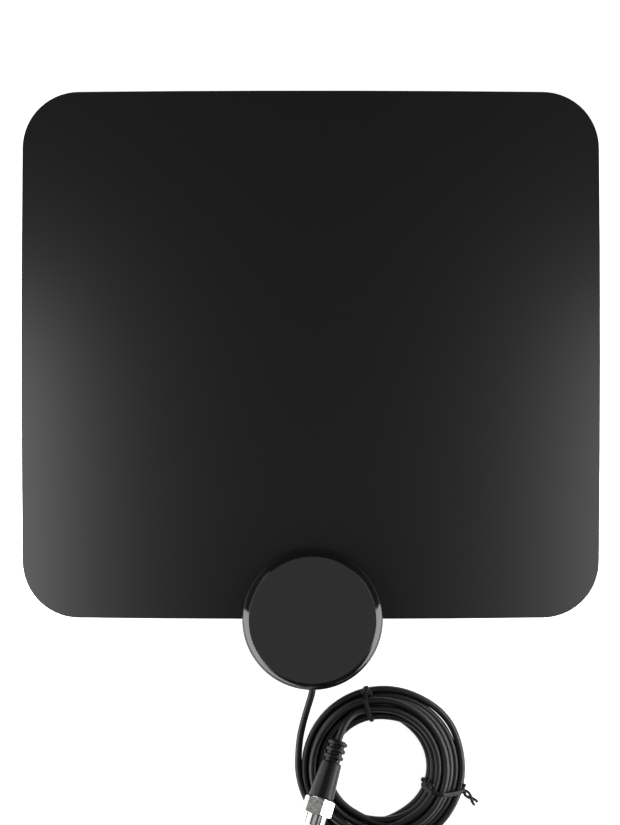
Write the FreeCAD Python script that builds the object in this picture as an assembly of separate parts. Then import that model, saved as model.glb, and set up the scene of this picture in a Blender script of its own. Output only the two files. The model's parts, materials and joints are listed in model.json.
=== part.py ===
import FreeCAD, Part
import math
import os

from FreeCAD import Placement, Rotation, Vector

# Indoor television antenna lying face up: a thin laminated sheet, a round junction
# housing on the sheet's lower edge, and a tied coaxial cable with a screw-on connector.
# Millimetres. +Z points up out of the resting surface, +Y to the sheet's upper edge.

# Antenna sheet: two films with a foil dipole between them
SHEET_WIDTH = 235.0
SHEET_LENGTH = 214.5
SHEET_CORNER_R = 23.0
EDGE_BOW = 0.8
FRONT_FILM_T = 0.5
REAR_FILM_T = 0.5
FOIL_T = 0.15
FOIL_FIT = 0.2
FOIL_SIDE_MARGIN = 20.5
FOIL_UPPER_MARGIN = 22.0
FOIL_LOWER_MARGIN = 34.5
FOIL_BAND = 24.0
FOIL_CORNER_R = 16.0
FEED_WIDTH = 6.0
FEED_OVERRUN = 3.5

# Junction housing: a bevelled cap and a flat base that clamp the sheet between them
HOUSING_R = 28.4
HOUSING_OVERHANG = 28.1
HOUSING_X = 0.7
BEVEL_WIDTH = 2.8
BEVEL_HEIGHT = 2.6
BEVEL_SOFTENING = 0.5
CAP_WALL = 2.0
CAP_ROOF = 1.6
BASE_T = 1.6
BASE_EDGE_CHAMFER = 0.5
FILM_SLOT_FIT = 0.3
LIP_T = 1.0
LIP_HEIGHT = 1.4
LIP_FIT = 0.15
LIP_EDGE_GAP = 2.0
BOSS_R = 2.6
BOSS_ANGLE = 37.4
BOSS_LIP_GAP = 1.25
BOSS_FIT = 0.3

# Cover screws, countersunk into the base and driven into the cap's bosses
SCREW_HEAD_R = 2.0
SCREW_SHANK_R = 0.9
SCREW_CONE_H = 1.0
SCREW_LENGTH = 7.5
SCREW_FIT = 0.03

# Balun board, held between the base's posts, the foil contacts and the cap's pegs
BOARD_T = 1.2
BOARD_CORNER_R = 2.0
BOARD_BOSS_GAP = 1.4
BOARD_CONTACT_MARGIN = 6.5
BOARD_COAX_GAP = 0.6
POST_R = 1.6
POST_INSET = 3.0
PEG_R = 1.3
PEG_INSET = 2.0

# Foil contacts, eyelets riveted through the films and the board
CONTACT_SPACING = 16.0
CONTACT_EDGE_MARGIN = 5.8
CONTACT_FLANGE_R = 2.0
CONTACT_FLANGE_T = 0.4
CONTACT_SHANK_R = 1.1
CONTACT_COLLAR_R = 1.7
CONTACT_COLLAR_H = 1.0
CONTACT_TAIL_R = 0.8
CONTACT_HEAD_R = 1.5
CONTACT_HEAD_H = 0.6
CONTACT_FIT = 0.05
CONTACT_RECESS_FIT = 0.3

# Balun: a two-hole ferrite core with a winding from each side, and chip capacitors
CORE_WIDTH = 7.2
CORE_LENGTH = 6.0
CORE_HEIGHT = 4.4
CORE_EDGE_R = 1.2
CORE_Y = 1.5
CORE_ROOF_GAP = 1.6
CORE_HOLE_SPACING = 3.4
CORE_HOLE_R = 0.95
WINDING_WIRE_D = 0.44
WINDING_PITCH = 0.8
WINDING_TURN_REACH = 0.9
PRIMARY_LEG_REACH = 2.1
SECONDARY_LEG_REACH = 1.0
CHIP_WIDTH = 1.25
CHIP_LENGTH = 2.0
CHIP_HEIGHT = 0.7
CHIP_SPACING = 12.0
CHIP_Y = -3.5

# Coaxial cable and its stripped end inside the housing
CABLE_D = 2.8
BRAID_D = 2.05
INSULATION_D = 1.5
COAX_WIRE_D = 0.5
LAYER_FIT = 0.02
JACKET_PAST_CLAMP = 3.0
BRAID_SHOWN = 3.0
INSULATION_SHOWN = 3.0
WIRE_SHOWN = 4.6
CABLE_HOLE_FIT = 0.1
TONGUE_WALL = 1.05
TONGUE_FIT = 0.1
LEAD_STRAIGHT = 6.0
TAIL_STRAIGHT = 5.0

# Cable clamp: a saddle screwed down on a cradle of the base
CLAMP_LENGTH = 4.0
CLAMP_WALL_GAP = 0.65
CLAMP_HEIGHT = 2.2
CLAMP_EDGE_R = 0.8
CLAMP_GAP = 0.15
CLAMP_SCREW_SPACING = 8.4
CLAMP_SCREW_R = 0.6
CLAMP_SCREW_HEAD_R = 1.2
CLAMP_SCREW_HEAD_H = 0.8
CLAMP_SCREW_EDGE = 0.6
CLAMP_SCREW_DEPTH = 2.2

# Coil of the tied cable: its hole lies off centre, the outermost turn lies alone,
# and the top layer lacks the innermost turns
COIL_X = 29.5
COIL_Y = -153.2
COIL_OUTER_R = 32.7
COIL_HOLE_R = 19.3
COIL_HOLE_SHIFT_X = -2.0
COIL_HOLE_SHIFT_Y = 0.2
COIL_STEP_WIDTH = 3.0
COIL_LAYER_RISE = 2.5
COIL_LAYERS = 3
COIL_EDGE_CHAMFER = 0.8

# Twist ties round the coil
TIE_T = 0.8
TIE_WIDTH = 1.8
TIE_GAP = 0.2
TIE_TAIL_R = 0.75
TIE_TOP_ANGLE = 103.0
TIE_TOP_TAIL = 3.6
TIE_TOP_TAIL_HEADING = 70.0
TIE_RIGHT_ANGLE = -17.0
TIE_RIGHT_TAIL = 8.6
TIE_RIGHT_TAIL_HEADING = -38.0

# Connector lying on the coil, along its own axis from the ribbed end to the pin
CONNECTOR_FRONT_X = 4.0
CONNECTOR_FRONT_Y = -163.9
CONNECTOR_HEADING = 252.5
CONNECTOR_REAR_GAP = 1.0
CONNECTOR_NUT_GAP = 0.35
RELIEF_R = 3.2
RIB_HEIGHT = 0.9
RIB_COUNT = 3
RIB_LENGTH = 1.8
RIB_GROOVE = 1.0
RIB_CREST = 0.8
RIB_MARGIN = 0.3
BOOT_LENGTH = 15.0
BOOT_WALL = 0.7
BOOT_FLARE = 1.0
BOOT_CHAMFER = 0.4
SLEEVE_SETBACK = 2.0
SLEEVE_WALL = 1.4
FLANGE_RISE = 0.8
FLANGE_T = 1.5
FLANGE_FIT = 0.2
INSULATOR_R = 2.0
PIN_R = 0.45
PIN_BODY_RISE = 0.45
PIN_PAST_NUT = 2.0
PIN_POINT = 0.25
NUT_HEX_LENGTH = 6.6
NUT_HEX_RISE = 0.4
NUT_COLLAR_LENGTH = 4.6
NUT_COLLAR_CHAMFER = 0.4
NUT_WALL = 0.7
NUT_LIP = 1.0
NUT_PLAY = 0.25
NUT_SLEEVE_FIT = 0.15
NUT_CHAMFER_ANGLE = 30.0

# Sheet and housing places: housing pieces are drawn about the housing's own axis
overall_length = SHEET_LENGTH + HOUSING_OVERHANG
sheet_top_y = overall_length / 2
sheet_bottom_y = sheet_top_y - SHEET_LENGTH
housing_place = Vector(HOUSING_X, HOUSING_R - overall_length / 2, 0)
film_edge_y = sheet_bottom_y - housing_place.y

# Heights of the stack from the base to the roof of the cap
rear_film_z = BASE_T
front_film_z = rear_film_z + REAR_FILM_T
sheet_top_z = front_film_z + FRONT_FILM_T
board_z = sheet_top_z + CONTACT_COLLAR_H
board_top_z = board_z + BOARD_T
roof_z = board_top_z + CORE_HEIGHT + CORE_ROOF_GAP
housing_top_z = roof_z + CAP_ROOF
cable_z = board_top_z + COAX_WIRE_D / 2

# Places inside the housing
cable_r = CABLE_D / 2
cap_inner_r = HOUSING_R - CAP_WALL
lip_outer_r = cap_inner_r - LIP_FIT
lip_inner_r = lip_outer_r - LIP_T
boss_circle_r = lip_inner_r - BOSS_LIP_GAP - BOSS_R
boss_x = boss_circle_r * math.cos(math.radians(BOSS_ANGLE))
boss_y = boss_circle_r * math.sin(math.radians(BOSS_ANGLE))
boss_places = [(-boss_x, -boss_y), (-boss_x, boss_y), (boss_x, -boss_y), (boss_x, boss_y)]
contact_y = film_edge_y + CONTACT_EDGE_MARGIN
contact_places = [(-CONTACT_SPACING / 2, contact_y), (CONTACT_SPACING / 2, contact_y)]
clamp_y0 = -(lip_inner_r - CLAMP_WALL_GAP)
clamp_y1 = clamp_y0 + CLAMP_LENGTH
clamp_y = (clamp_y0 + clamp_y1) / 2
clamp_half_width = CLAMP_SCREW_SPACING / 2 + CLAMP_SCREW_HEAD_R + CLAMP_SCREW_EDGE
clamp_screw_places = [(-CLAMP_SCREW_SPACING / 2, clamp_y), (CLAMP_SCREW_SPACING / 2, clamp_y)]
tongue_half_width = cable_r + TONGUE_WALL
jacket_end_y = clamp_y1 + JACKET_PAST_CLAMP
braid_end_y = jacket_end_y + BRAID_SHOWN
insulation_end_y = braid_end_y + INSULATION_SHOWN
wire_end_y = insulation_end_y + WIRE_SHOWN
board_y0 = insulation_end_y + BOARD_COAX_GAP
board_y1 = contact_y + BOARD_CONTACT_MARGIN
board_half_width = boss_x - BOSS_R - BOARD_BOSS_GAP

# Coil's radii and layers, and where its hole lies in it
coil_upper_r = COIL_OUTER_R - CABLE_D
coil_step_r = COIL_HOLE_R + COIL_STEP_WIDTH
hole_shift = Vector(COIL_HOLE_SHIFT_X, COIL_HOLE_SHIFT_Y, 0)
coil_z = TIE_T + TIE_GAP
outer_turn_z = coil_z + CABLE_D
coil_step_z = outer_turn_z + (COIL_LAYERS - 2) * COIL_LAYER_RISE
coil_top_z = coil_step_z + COIL_LAYER_RISE
coil_place = Vector(COIL_X, COIL_Y, 0)

# Connector radii from the pin outwards, and lengths from the ribbed end to the pin's tip
pin_body_r = PIN_R + PIN_BODY_RISE
sleeve_r = INSULATOR_R + SLEEVE_WALL
flange_r = sleeve_r + FLANGE_RISE
nut_bore_r = flange_r + FLANGE_FIT
nut_collar_r = nut_bore_r + NUT_WALL
nut_flat_r = nut_collar_r + NUT_HEX_RISE
nut_corner_r = nut_flat_r / math.cos(math.radians(30))
boot_rear_r = sleeve_r + BOOT_WALL
boot_front_r = boot_rear_r + BOOT_FLARE
rib_r = RELIEF_R + RIB_HEIGHT
relief_length = 2 * RIB_MARGIN + RIB_COUNT * (RIB_LENGTH + RIB_GROOVE)
boot_end = relief_length + BOOT_LENGTH
sleeve_start = relief_length + SLEEVE_SETBACK
nut_start = boot_end + NUT_PLAY
nut_hex_end = nut_start + NUT_HEX_LENGTH
nut_end = nut_hex_end + NUT_COLLAR_LENGTH
flange_start = nut_start + NUT_LIP + NUT_PLAY
flange_end = flange_start + FLANGE_T
pin_end = nut_end + PIN_PAST_NUT


def block(x0, x1, y0, y1, z0, z1):
    return Part.makeBox(x1 - x0, y1 - y0, z1 - z0, Vector(x0, y0, z0))


def rounded(solid, direction, radius):
    """Round the straight edges of a block that run along a direction."""
    edges = [edge for edge in solid.Edges if abs(edge.tangentAt(edge.FirstParameter).dot(direction)) > 0.99]
    return solid.makeFillet(radius, edges)


def post(place, z0, z1, radius):
    return Part.makeCylinder(radius, z1 - z0, Vector(place[0], place[1], z0))


def rod(x, z, y0, y1, radius):
    return Part.makeCylinder(radius, y1 - y0, Vector(x, y0, z), Vector(0, 1, 0))


def turned(outline):
    """Revolve a closed outline of (radius, height) points round the Z axis."""
    corners = [Vector(radius, 0, height) for radius, height in outline]
    face = Part.Face(Part.makePolygon(corners + corners[:1]))
    return face.revolve(Vector(0, 0, 0), Vector(0, 0, 1), 360)


def joined(solids):
    return solids[0].fuse(solids[1:]).removeSplitter()


def in_housing(solid):
    return solid.translated(housing_place)


def sheet_blank(z, thickness):
    """Return a plate with gently bowed edges and rounded corners."""
    half_width = SHEET_WIDTH / 2
    middle_y = (sheet_top_y + sheet_bottom_y) / 2
    half_length = SHEET_LENGTH / 2
    corner_x = half_width - EDGE_BOW
    corner_y = half_length - EDGE_BOW
    corners = [Vector(sx * corner_x, middle_y + sy * corner_y, z)
               for sx, sy in ((-1, -1), (1, -1), (1, 1), (-1, 1))]
    middles = [Vector(sx * half_width, middle_y + sy * half_length, z)
               for sx, sy in ((0, -1), (1, 0), (0, 1), (-1, 0))]
    edges = [Part.Arc(corners[side], middles[side], corners[(side + 1) % 4]).toShape() for side in range(4)]
    blank = Part.Face(Part.Wire(edges)).extrude(Vector(0, 0, thickness))
    return rounded(blank, Vector(0, 0, 1), SHEET_CORNER_R)


def foil_lobe(side, grow):
    """Return one closed loop of the dipole with its feed strip, on the left (-1) or right (1)."""
    inner_x = CONTACT_SPACING / 2 - FEED_WIDTH / 2
    outer_x = SHEET_WIDTH / 2 - FOIL_SIDE_MARGIN
    upper_y = sheet_top_y - FOIL_UPPER_MARGIN
    lower_y = sheet_bottom_y + FOIL_LOWER_MARGIN
    z0 = front_film_z - FOIL_T
    z1 = front_film_z
    up = Vector(0, 0, 1)
    rim = block(inner_x - grow, outer_x + grow, lower_y - grow, upper_y + grow, z0, z1)
    rim = rounded(rim, up, FOIL_CORNER_R + grow)
    opening = block(inner_x + FOIL_BAND + grow, outer_x - FOIL_BAND - grow,
                    lower_y + FOIL_BAND + grow, upper_y - FOIL_BAND - grow, z0, z1)
    opening = rounded(opening, up, FOIL_CORNER_R - grow)
    feed_end_y = housing_place.y + contact_y - FEED_OVERRUN
    feed = block(inner_x - grow, inner_x + FEED_WIDTH + grow, feed_end_y - grow,
                 lower_y + FOIL_CORNER_R + grow, z0, z1)
    lobe = joined([rim, feed]).cut(opening)
    if side < 0:
        lobe = lobe.mirror(Vector(0, 0, 0), Vector(1, 0, 0))
    return lobe.translated(Vector(HOUSING_X, 0, 0))


def contact_holes(z0, z1):
    return [in_housing(post(place, z0, z1, CONTACT_SHANK_R + CONTACT_FIT)) for place in contact_places]


def boss_holes():
    upper = [place for place in boss_places if place[1] > film_edge_y]
    return [in_housing(post(place, rear_film_z, sheet_top_z, BOSS_R + BOSS_FIT)) for place in upper]


def make_front_film():
    holes = boss_holes() + contact_holes(front_film_z, sheet_top_z)
    return sheet_blank(front_film_z, FRONT_FILM_T).cut(holes)


def make_rear_film():
    pockets = [foil_lobe(side, FOIL_FIT) for side in (-1, 1)]
    holes = boss_holes() + contact_holes(rear_film_z, front_film_z)
    return sheet_blank(rear_film_z, REAR_FILM_T).cut(pockets + holes)


def make_foil(side):
    return foil_lobe(side, 0.0).cut(contact_holes(rear_film_z, front_film_z))


def eased(outline, cut, where):
    """Cut the named corners of an outline back by a length along both sides."""
    points = []
    for index, corner in enumerate(outline):
        if index not in where:
            points.append(corner)
            continue
        for other in (outline[index - 1], outline[(index + 1) % len(outline)]):
            length = math.dist(corner, other)
            points.append(tuple(a + (b - a) * cut / length for a, b in zip(corner, other)))
    return points


def make_housing_cap():
    """Turn the bevelled shell, add bosses and pegs, and cut the film slot and the cable notch."""
    face_r = HOUSING_R - BEVEL_WIDTH
    bevel_z = housing_top_z - BEVEL_HEIGHT
    outline = [(0, BASE_T), (HOUSING_R, BASE_T), (HOUSING_R, bevel_z), (face_r, housing_top_z),
               (0, housing_top_z)]
    shell = turned(eased(outline, BEVEL_SOFTENING, (2, 3)))
    hollow = turned([(0, BASE_T), (cap_inner_r, BASE_T), (cap_inner_r, roof_z - BEVEL_HEIGHT),
                     (cap_inner_r - BEVEL_WIDTH, roof_z), (0, roof_z)])
    bosses = [post(place, BASE_T, roof_z, BOSS_R) for place in boss_places]
    peg_x = board_half_width - PEG_INSET
    peg_places = [(side * peg_x, y) for side in (-1, 1) for y in (board_y0 + PEG_INSET, board_y1 - PEG_INSET)]
    pegs = [post(place, board_top_z, roof_z, PEG_R) for place in peg_places]
    cap = joined([shell.cut(hollow)] + bosses + pegs)
    screw_holes = [post(place, BASE_T, SCREW_LENGTH, SCREW_SHANK_R + SCREW_FIT) for place in boss_places]
    slot = block(-HOUSING_R, HOUSING_R, film_edge_y - FILM_SLOT_FIT, HOUSING_R, BASE_T, sheet_top_z)
    slot = slot.cut([post(place, BASE_T, sheet_top_z, BOSS_R) for place in boss_places])
    notch_half = tongue_half_width + TONGUE_FIT
    notch = block(-notch_half, notch_half, -HOUSING_R, -lip_inner_r, BASE_T, cable_z)
    cable_hole = rod(0, cable_z, -HOUSING_R, -lip_inner_r, cable_r + CABLE_HOLE_FIT)
    return in_housing(cap.cut(screw_holes + [slot, notch, cable_hole]))


def make_housing_base():
    """Turn the flat base and add its locating lip, board posts and cable cradle."""
    disc = turned([(0, 0), (HOUSING_R - BASE_EDGE_CHAMFER, 0), (HOUSING_R, BASE_EDGE_CHAMFER),
                   (HOUSING_R, BASE_T), (0, BASE_T)])
    lip_z = BASE_T + LIP_HEIGHT
    lip = turned([(lip_inner_r, BASE_T), (lip_outer_r, BASE_T), (lip_outer_r, lip_z), (lip_inner_r, lip_z)])
    lip_span = block(-HOUSING_R, HOUSING_R, -HOUSING_R, film_edge_y - LIP_EDGE_GAP, BASE_T, lip_z)
    post_x = board_half_width - POST_INSET
    posts = [post((side * post_x, board_y0 + POST_INSET), BASE_T, board_z, POST_R) for side in (-1, 1)]
    cradle_z = cable_z - CLAMP_GAP
    cradle = block(-clamp_half_width, clamp_half_width, clamp_y0, clamp_y1, BASE_T, cradle_z)
    tongue = block(-tongue_half_width, tongue_half_width, -HOUSING_R, clamp_y1, BASE_T, cradle_z)
    tongue = tongue.common(post((0, 0), BASE_T, cradle_z, HOUSING_R))
    base = joined([disc, lip.common(lip_span), cradle, tongue] + posts)
    groove = rod(0, cable_z, -HOUSING_R, clamp_y1, cable_r + LAYER_FIT)
    recesses = [post(place, BASE_T - CONTACT_FLANGE_T - CONTACT_RECESS_FIT, BASE_T,
                     CONTACT_FLANGE_R + CONTACT_RECESS_FIT) for place in contact_places]
    countersunk = screw_blank(SCREW_FIT, BASE_T)
    screw_holes = [countersunk.translated(Vector(x, y, 0)) for x, y in boss_places]
    clamp_holes = [post(place, cradle_z - CLAMP_SCREW_DEPTH, cradle_z, CLAMP_SCREW_R + SCREW_FIT)
                   for place in clamp_screw_places]
    return in_housing(base.cut([groove] + recesses + screw_holes + clamp_holes))


def screw_blank(grow, top):
    """Return a countersunk screw's form, grown by a clearance, with its head at height 0."""
    return turned([(0, 0), (SCREW_HEAD_R + grow, 0), (SCREW_SHANK_R + grow, SCREW_CONE_H),
                   (SCREW_SHANK_R + grow, top), (0, top)])


def make_cover_screws():
    screw = screw_blank(0.0, SCREW_LENGTH)
    return Part.makeCompound([in_housing(screw.translated(Vector(x, y, 0))) for x, y in boss_places])


def make_circuit_board():
    board = block(-board_half_width, board_half_width, board_y0, board_y1, board_z, board_top_z)
    board = rounded(board, Vector(0, 0, 1), BOARD_CORNER_R)
    holes = [post(place, board_z, board_top_z, CONTACT_TAIL_R + CONTACT_FIT) for place in contact_places]
    return in_housing(board.cut(holes))


def make_foil_contact(place):
    """Turn one eyelet: flange under the films, collar under the board, riveted head above it."""
    flange_z = rear_film_z - CONTACT_FLANGE_T
    head_z = board_top_z + CONTACT_HEAD_H
    eyelet = turned([(0, flange_z), (CONTACT_FLANGE_R, flange_z), (CONTACT_FLANGE_R, rear_film_z),
                     (CONTACT_SHANK_R, rear_film_z), (CONTACT_SHANK_R, sheet_top_z),
                     (CONTACT_COLLAR_R, sheet_top_z), (CONTACT_COLLAR_R, board_z),
                     (CONTACT_TAIL_R, board_z), (CONTACT_TAIL_R, board_top_z),
                     (CONTACT_HEAD_R, board_top_z), (CONTACT_TAIL_R, head_z), (0, head_z)])
    return in_housing(eyelet.translated(Vector(place[0], place[1], 0)))


def make_balun_core():
    front_y = CORE_Y - CORE_LENGTH / 2
    back_y = CORE_Y + CORE_LENGTH / 2
    core = block(-CORE_WIDTH / 2, CORE_WIDTH / 2, front_y, back_y, board_top_z, board_top_z + CORE_HEIGHT)
    core = rounded(core, Vector(0, 1, 0), CORE_EDGE_R)
    hole_z = board_top_z + CORE_HEIGHT / 2
    holes = [rod(side * CORE_HOLE_SPACING / 2, hole_z, front_y, back_y, CORE_HOLE_R) for side in (-1, 1)]
    return in_housing(core.cut(holes))


def make_winding(leg_side, rise, leg_reach):
    """Return one hairpin of wire through both holes, with its legs soldered on the board."""
    x = CORE_HOLE_SPACING / 2
    z = board_top_z + CORE_HEIGHT / 2 + rise
    leg_y = CORE_Y + leg_side * (CORE_LENGTH / 2 + leg_reach)
    turn_y = CORE_Y - leg_side * (CORE_LENGTH / 2 + WINDING_TURN_REACH)
    points = [Vector(-x, leg_y, board_top_z), Vector(-x, leg_y, z), Vector(-x, turn_y, z),
              Vector(x, turn_y, z), Vector(x, leg_y, z), Vector(x, leg_y, board_top_z)]
    section = Part.Wire(Part.Circle(points[0], Vector(0, 0, 1), WINDING_WIRE_D / 2).toShape())
    mitred = 1
    return in_housing(Part.makePolygon(points).makePipeShell([section], True, False, mitred))


def make_chip_capacitors():
    chips = [block(x - CHIP_WIDTH / 2, x + CHIP_WIDTH / 2, CHIP_Y - CHIP_LENGTH / 2, CHIP_Y + CHIP_LENGTH / 2,
                   board_top_z, board_top_z + CHIP_HEIGHT) for x in (-CHIP_SPACING / 2, CHIP_SPACING / 2)]
    return Part.makeCompound([in_housing(chip) for chip in chips])


def coax_layer(end_y, outer_d, inner_d):
    """Return one layer of the cable from the housing wall to where it is stripped back."""
    layer = rod(0, cable_z, -HOUSING_R, end_y, outer_d / 2)
    if inner_d > 0:
        layer = layer.cut(rod(0, cable_z, -HOUSING_R, end_y, inner_d / 2 + LAYER_FIT))
    return in_housing(layer)


def make_cable_clamp():
    """Return the saddle that presses the cable into the cradle."""
    top_z = cable_z + CLAMP_HEIGHT
    strap = block(-clamp_half_width, clamp_half_width, clamp_y0, clamp_y1, cable_z, top_z)
    upper = [edge for edge in strap.Edges if abs(edge.CenterOfMass.z - top_z) < 1e-6]
    ends = [edge for edge in upper if abs(edge.CenterOfMass.x) > clamp_half_width / 2]
    strap = strap.makeFillet(CLAMP_EDGE_R, ends)
    groove = rod(0, cable_z, clamp_y0, clamp_y1, cable_r + LAYER_FIT)
    holes = [post(place, cable_z, top_z, CLAMP_SCREW_R + SCREW_FIT) for place in clamp_screw_places]
    return in_housing(strap.cut([groove] + holes))


def make_clamp_screws():
    seat_z = cable_z + CLAMP_HEIGHT
    tip_z = cable_z - CLAMP_GAP - CLAMP_SCREW_DEPTH
    screw = turned([(0, tip_z), (CLAMP_SCREW_R, tip_z), (CLAMP_SCREW_R, seat_z), (CLAMP_SCREW_HEAD_R, seat_z),
                    (CLAMP_SCREW_HEAD_R, seat_z + CLAMP_SCREW_HEAD_H), (0, seat_z + CLAMP_SCREW_HEAD_H)])
    return Part.makeCompound([in_housing(screw.translated(Vector(x, y, 0))) for x, y in clamp_screw_places])


def bend(before, corner, after):
    """Return where the arc at a corner of a route starts, its middle, its end and its radius."""
    run_in = corner - before
    run_out = after - corner
    turn = run_in.getAngle(run_out)
    trim = 0.45 * min(run_in.Length, run_out.Length)
    radius = trim / math.tan(turn / 2)
    way_in = Vector(run_in).normalize()
    way_out = Vector(run_out).normalize()
    inward = (way_out - way_in).normalize()
    middle = corner + inward * (radius / math.cos(turn / 2) - radius)
    return corner - way_in * trim, middle, corner + way_out * trim, radius


def tube(points, diameter):
    """Sweep a round section along straight runs joined by tangent arcs."""
    edges = []
    start = points[0]
    for before, corner, after in zip(points, points[1:], points[2:]):
        first, middle, last, radius = bend(before, corner, after)
        edges.append(Part.LineSegment(start, first).toShape())
        edges.append(Part.Arc(first, middle, last).toShape())
        start = last
    edges.append(Part.LineSegment(start, points[-1]).toShape())
    section = Part.Wire(Part.Circle(points[0], points[1] - points[0], diameter / 2).toShape())
    return Part.Wire(edges).makePipeShell([section], True, False)


def show_radii(name, points):
    radii = [bend(*corner)[3] for corner in zip(points, points[1:], points[2:])]
    print(name, "arc radii:", ", ".join(f"{radius:.1f}" for radius in radii))


def hole_reach(radius, angle):
    """Return how far from the coil's centre a circle round its hole lies, in a direction."""
    way = Vector(math.cos(math.radians(angle)), math.sin(math.radians(angle)), 0)
    along = hole_shift.dot(way)
    return along + math.sqrt(radius ** 2 - hole_shift.Length ** 2 + along ** 2)


def coil_hull(angle):
    """Return the outline of (radius, height) points that a tie at an angle is pulled round."""
    cut = COIL_EDGE_CHAMFER
    inner_r = hole_reach(COIL_HOLE_R, angle)
    step_r = hole_reach(coil_step_r, angle)
    return [(inner_r + cut, coil_z), (COIL_OUTER_R - cut, coil_z), (COIL_OUTER_R, coil_z + cut),
            (COIL_OUTER_R, outer_turn_z - cut), (coil_upper_r, coil_top_z - cut),
            (coil_upper_r - cut, coil_top_z), (step_r + cut, coil_top_z),
            (inner_r, coil_step_z), (inner_r, coil_z + cut)]


def make_coil():
    """Turn the wound cable's form, stepped in above the outermost turn, and cut its stepped hole."""
    cut = COIL_EDGE_CHAMFER
    form = turned([(0, coil_z), (COIL_OUTER_R - cut, coil_z), (COIL_OUTER_R, coil_z + cut),
                   (COIL_OUTER_R, outer_turn_z - cut), (COIL_OUTER_R - cut, outer_turn_z),
                   (coil_upper_r, outer_turn_z), (coil_upper_r, coil_top_z - cut),
                   (coil_upper_r - cut, coil_top_z), (0, coil_top_z)])
    hole = turned([(0, coil_z), (COIL_HOLE_R + cut, coil_z), (COIL_HOLE_R, coil_z + cut),
                   (COIL_HOLE_R, coil_step_z - cut), (COIL_HOLE_R + cut, coil_step_z),
                   (coil_step_r, coil_step_z), (coil_step_r, coil_top_z - cut),
                   (coil_step_r + cut, coil_top_z), (0, coil_top_z)])
    return form.cut(hole.translated(hole_shift)).translated(coil_place)


def make_twist_tie(angle, tail_length, tail_heading):
    """Return a band round the coil's section at an angle, with its twisted tail outside."""
    corners = [Vector(radius, 0, height) for radius, height in coil_hull(angle)]
    section = Part.Face(Part.makePolygon(corners + corners[:1]))
    inside = section.makeOffset2D(TIE_GAP, join=2)
    outside = section.makeOffset2D(TIE_GAP + TIE_T, join=2)
    band = outside.cut(inside).extrude(Vector(0, TIE_WIDTH, 0)).translated(Vector(0, -TIE_WIDTH / 2, 0))
    heading = math.radians(tail_heading)
    root = Vector(COIL_OUTER_R + TIE_GAP + TIE_T / 2, 0, (coil_z + outer_turn_z) / 2)
    tail = Part.makeCylinder(TIE_TAIL_R, tail_length, root, Vector(math.cos(heading), math.sin(heading), 0))
    hollow = inside.extrude(Vector(0, 2 * tail_length, 0)).translated(Vector(0, -tail_length, 0))
    tie = joined([band, tail.cut(hollow)])
    tie.rotate(Vector(0, 0, 0), Vector(0, 0, 1), angle)
    return tie.translated(coil_place)


def connector_frame():
    """Return the connector's placement and axis: ribs above the coil's step, nut just above its top."""
    rear_z = coil_step_z + CONNECTOR_REAR_GAP + rib_r
    nut_z = coil_top_z + CONNECTOR_NUT_GAP + nut_corner_r
    rise = (nut_z - rear_z) / nut_start
    level = math.sqrt(1 - rise ** 2)
    heading = math.radians(CONNECTOR_HEADING)
    axis = Vector(math.cos(heading) * level, math.sin(heading) * level, rise)
    rear = Vector(CONNECTOR_FRONT_X - axis.x * boot_end, CONNECTOR_FRONT_Y - axis.y * boot_end, rear_z)
    return Placement(rear, Rotation(Vector(0, 0, 1), axis)), axis


connector_place, connector_axis = connector_frame()


def on_connector(solid):
    placed = solid.copy()
    placed.Placement = connector_place.multiply(placed.Placement)
    return placed


def make_connector_boot():
    """Revolve the ribbed strain relief and the tapered boot as one moulding."""
    bore_r = cable_r + LAYER_FIT
    hollow_r = sleeve_r + LAYER_FIT
    outline = [(bore_r, 0), (RELIEF_R, 0)]
    slope = (RIB_LENGTH - RIB_CREST) / 2
    for rib in range(RIB_COUNT):
        foot = RIB_MARGIN + rib * (RIB_LENGTH + RIB_GROOVE)
        outline += [(RELIEF_R, foot), (rib_r, foot + slope), (rib_r, foot + slope + RIB_CREST),
                    (RELIEF_R, foot + RIB_LENGTH)]
    rear_corner = len(outline) + 1
    outline += [(RELIEF_R, relief_length), (boot_rear_r, relief_length), (boot_front_r, boot_end),
                (hollow_r, boot_end), (hollow_r, sleeve_start), (bore_r, sleeve_start)]
    return on_connector(turned(eased(outline, BOOT_CHAMFER, (rear_corner, rear_corner + 1))))


def make_connector_sleeve():
    """Turn the metal sleeve with the flange that holds the nut."""
    bore_r = INSULATOR_R + LAYER_FIT
    return on_connector(turned([(bore_r, sleeve_start), (sleeve_r, sleeve_start), (sleeve_r, flange_start),
                                (flange_r, flange_start), (flange_r, flange_end), (bore_r, flange_end)]))


def make_connector_insulator():
    bore_r = pin_body_r + LAYER_FIT
    return on_connector(turned([(bore_r, sleeve_start), (INSULATOR_R, sleeve_start),
                                (INSULATOR_R, flange_end), (bore_r, flange_end)]))


def make_connector_pin():
    """Turn the pin: a thick body held in the insulator and a thinner free end with a cut point."""
    return on_connector(turned([(0, sleeve_start), (pin_body_r, sleeve_start), (pin_body_r, flange_end),
                                (PIN_R, flange_end), (PIN_R, pin_end - PIN_POINT),
                                (PIN_R - PIN_POINT, pin_end), (0, pin_end)]))


def make_cable_outer_end():
    return on_connector(post((0, 0), 0, sleeve_start, cable_r))


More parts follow.
